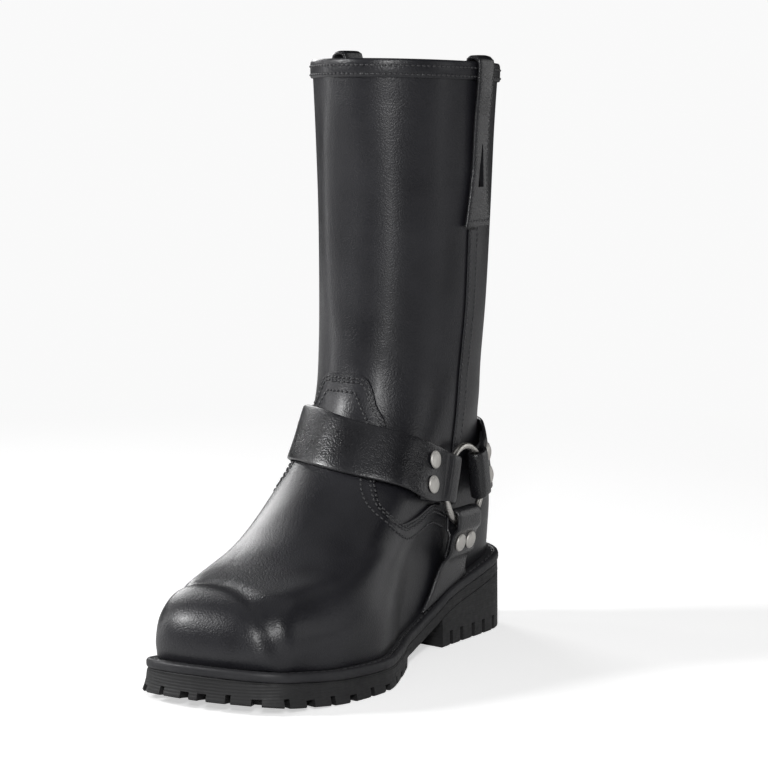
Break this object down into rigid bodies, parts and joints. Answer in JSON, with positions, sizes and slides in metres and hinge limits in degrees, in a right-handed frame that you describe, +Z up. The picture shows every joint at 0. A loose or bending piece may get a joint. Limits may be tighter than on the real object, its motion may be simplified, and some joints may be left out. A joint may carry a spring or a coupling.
{
  "type": "biker boot",
  "caption": "Tall pull-on harness boot in black leather on a lug sole: square toe, tabbed vamp, straps riveted round a ring at each side, pull loops at the collar.",
  "frame": {"origin": "on the floor under the middle of the heel, on the heel's floor face", "axes": "+Z up along the shaft, toe toward -Y, the wearer's left (outer side) toward +X"},
  "size_m": [0.1168, 0.2915, 0.3388],
  "materials": {
    "leather": "satin black pebbled leather",
    "strap_leather": "smoother glossy black leather",
    "rubber": "matt black moulded rubber",
    "insole_board": "matt brown board",
    "metal": "satin nickel"
  },
  "bodies": {
    "root": {"upper": "leather", "vamp": "leather", "collar_binding": "leather", "seam_strip_outer": "leather", "seam_strip_inner": "leather", "strap_front": "strap_leather", "strap_heel": "strap_leather", "strap_side_outer": "strap_leather", "strap_side_inner": "strap_leather", "pull_loop_outer": "strap_leather", "pull_loop_inner": "strap_leather", "outsole": "rubber", "heel": "rubber", "welt": "rubber", "midsole": "rubber", "insole": "insole_board", "ring_outer": "metal", "ring_inner": "metal", "rivet_front_outer_1": "metal", "rivet_front_outer_2": "metal", "rivet_back_outer_1": "metal", "rivet_back_outer_2": "metal", "rivet_side_outer_1": "metal", "rivet_side_outer_2": "metal", "rivet_front_inner_1": "metal", "rivet_front_inner_2": "metal", "rivet_back_inner_1": "metal", "rivet_back_inner_2": "metal", "rivet_side_inner_1": "metal", "rivet_side_inner_2": "metal"}
  },
  "joints": []
}
